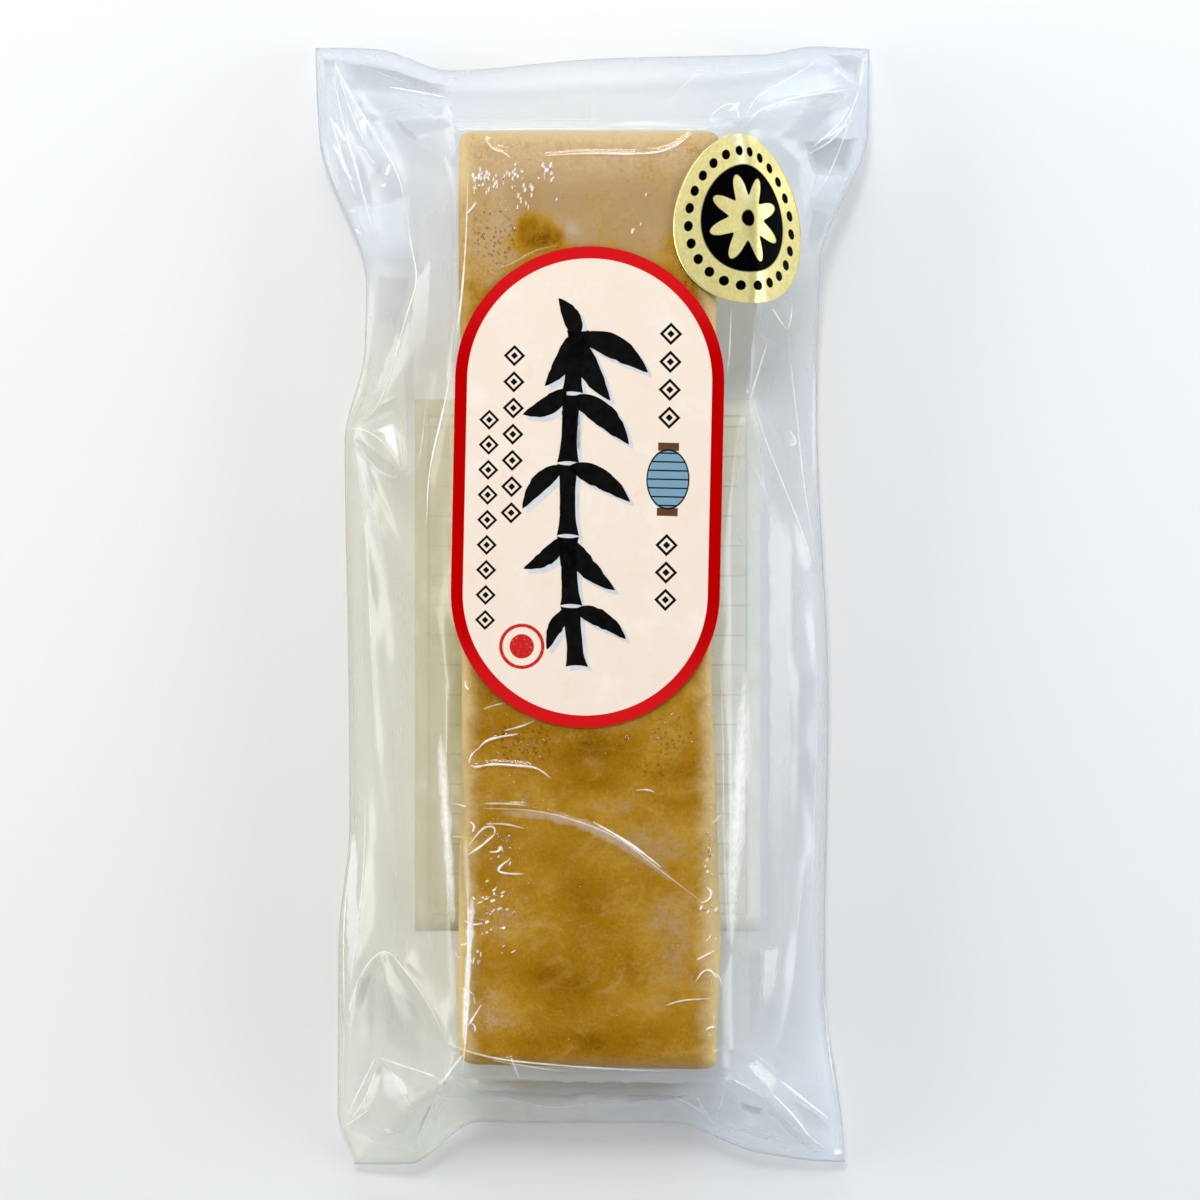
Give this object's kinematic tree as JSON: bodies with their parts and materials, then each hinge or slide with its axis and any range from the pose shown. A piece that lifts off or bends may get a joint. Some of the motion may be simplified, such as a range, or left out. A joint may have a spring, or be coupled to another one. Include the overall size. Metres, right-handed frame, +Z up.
{
  "type": "eel kamaboko bar in a sealed clear pouch",
  "caption": "Rectangular bar of steamed eel fish cake sealed in a clear pouch, lying flat, with a long rounded label on top, an egg-shaped gold seal and a plain back label.",
  "frame": {"origin": "on the table under the middle of the pouch's outline, at the height of its flat underside", "axes": "+Y along the bar towards the end with the gold seal, +X across it towards the side with the gold seal, +Z up"},
  "size_m": [0.1, 0.2014, 0.0269],
  "materials": {
    "clear_film": "clear, glossy, slightly hazy, creased",
    "fish_cake": "smooth moist steamed fish paste, tan mottled with honey brown",
    "label_paper": "cream fibrous paper with a red border and plain ornaments",
    "gold_foil": "satin gold foil with black ornaments",
    "back_paper": "smooth pale paper with thin ruled lines"
  },
  "bodies": {
    "root": {"bag": "fish_cake", "front_label": "label_paper", "gold_seal": "gold_foil", "back_label": "back_paper"}
  },
  "joints": []
}
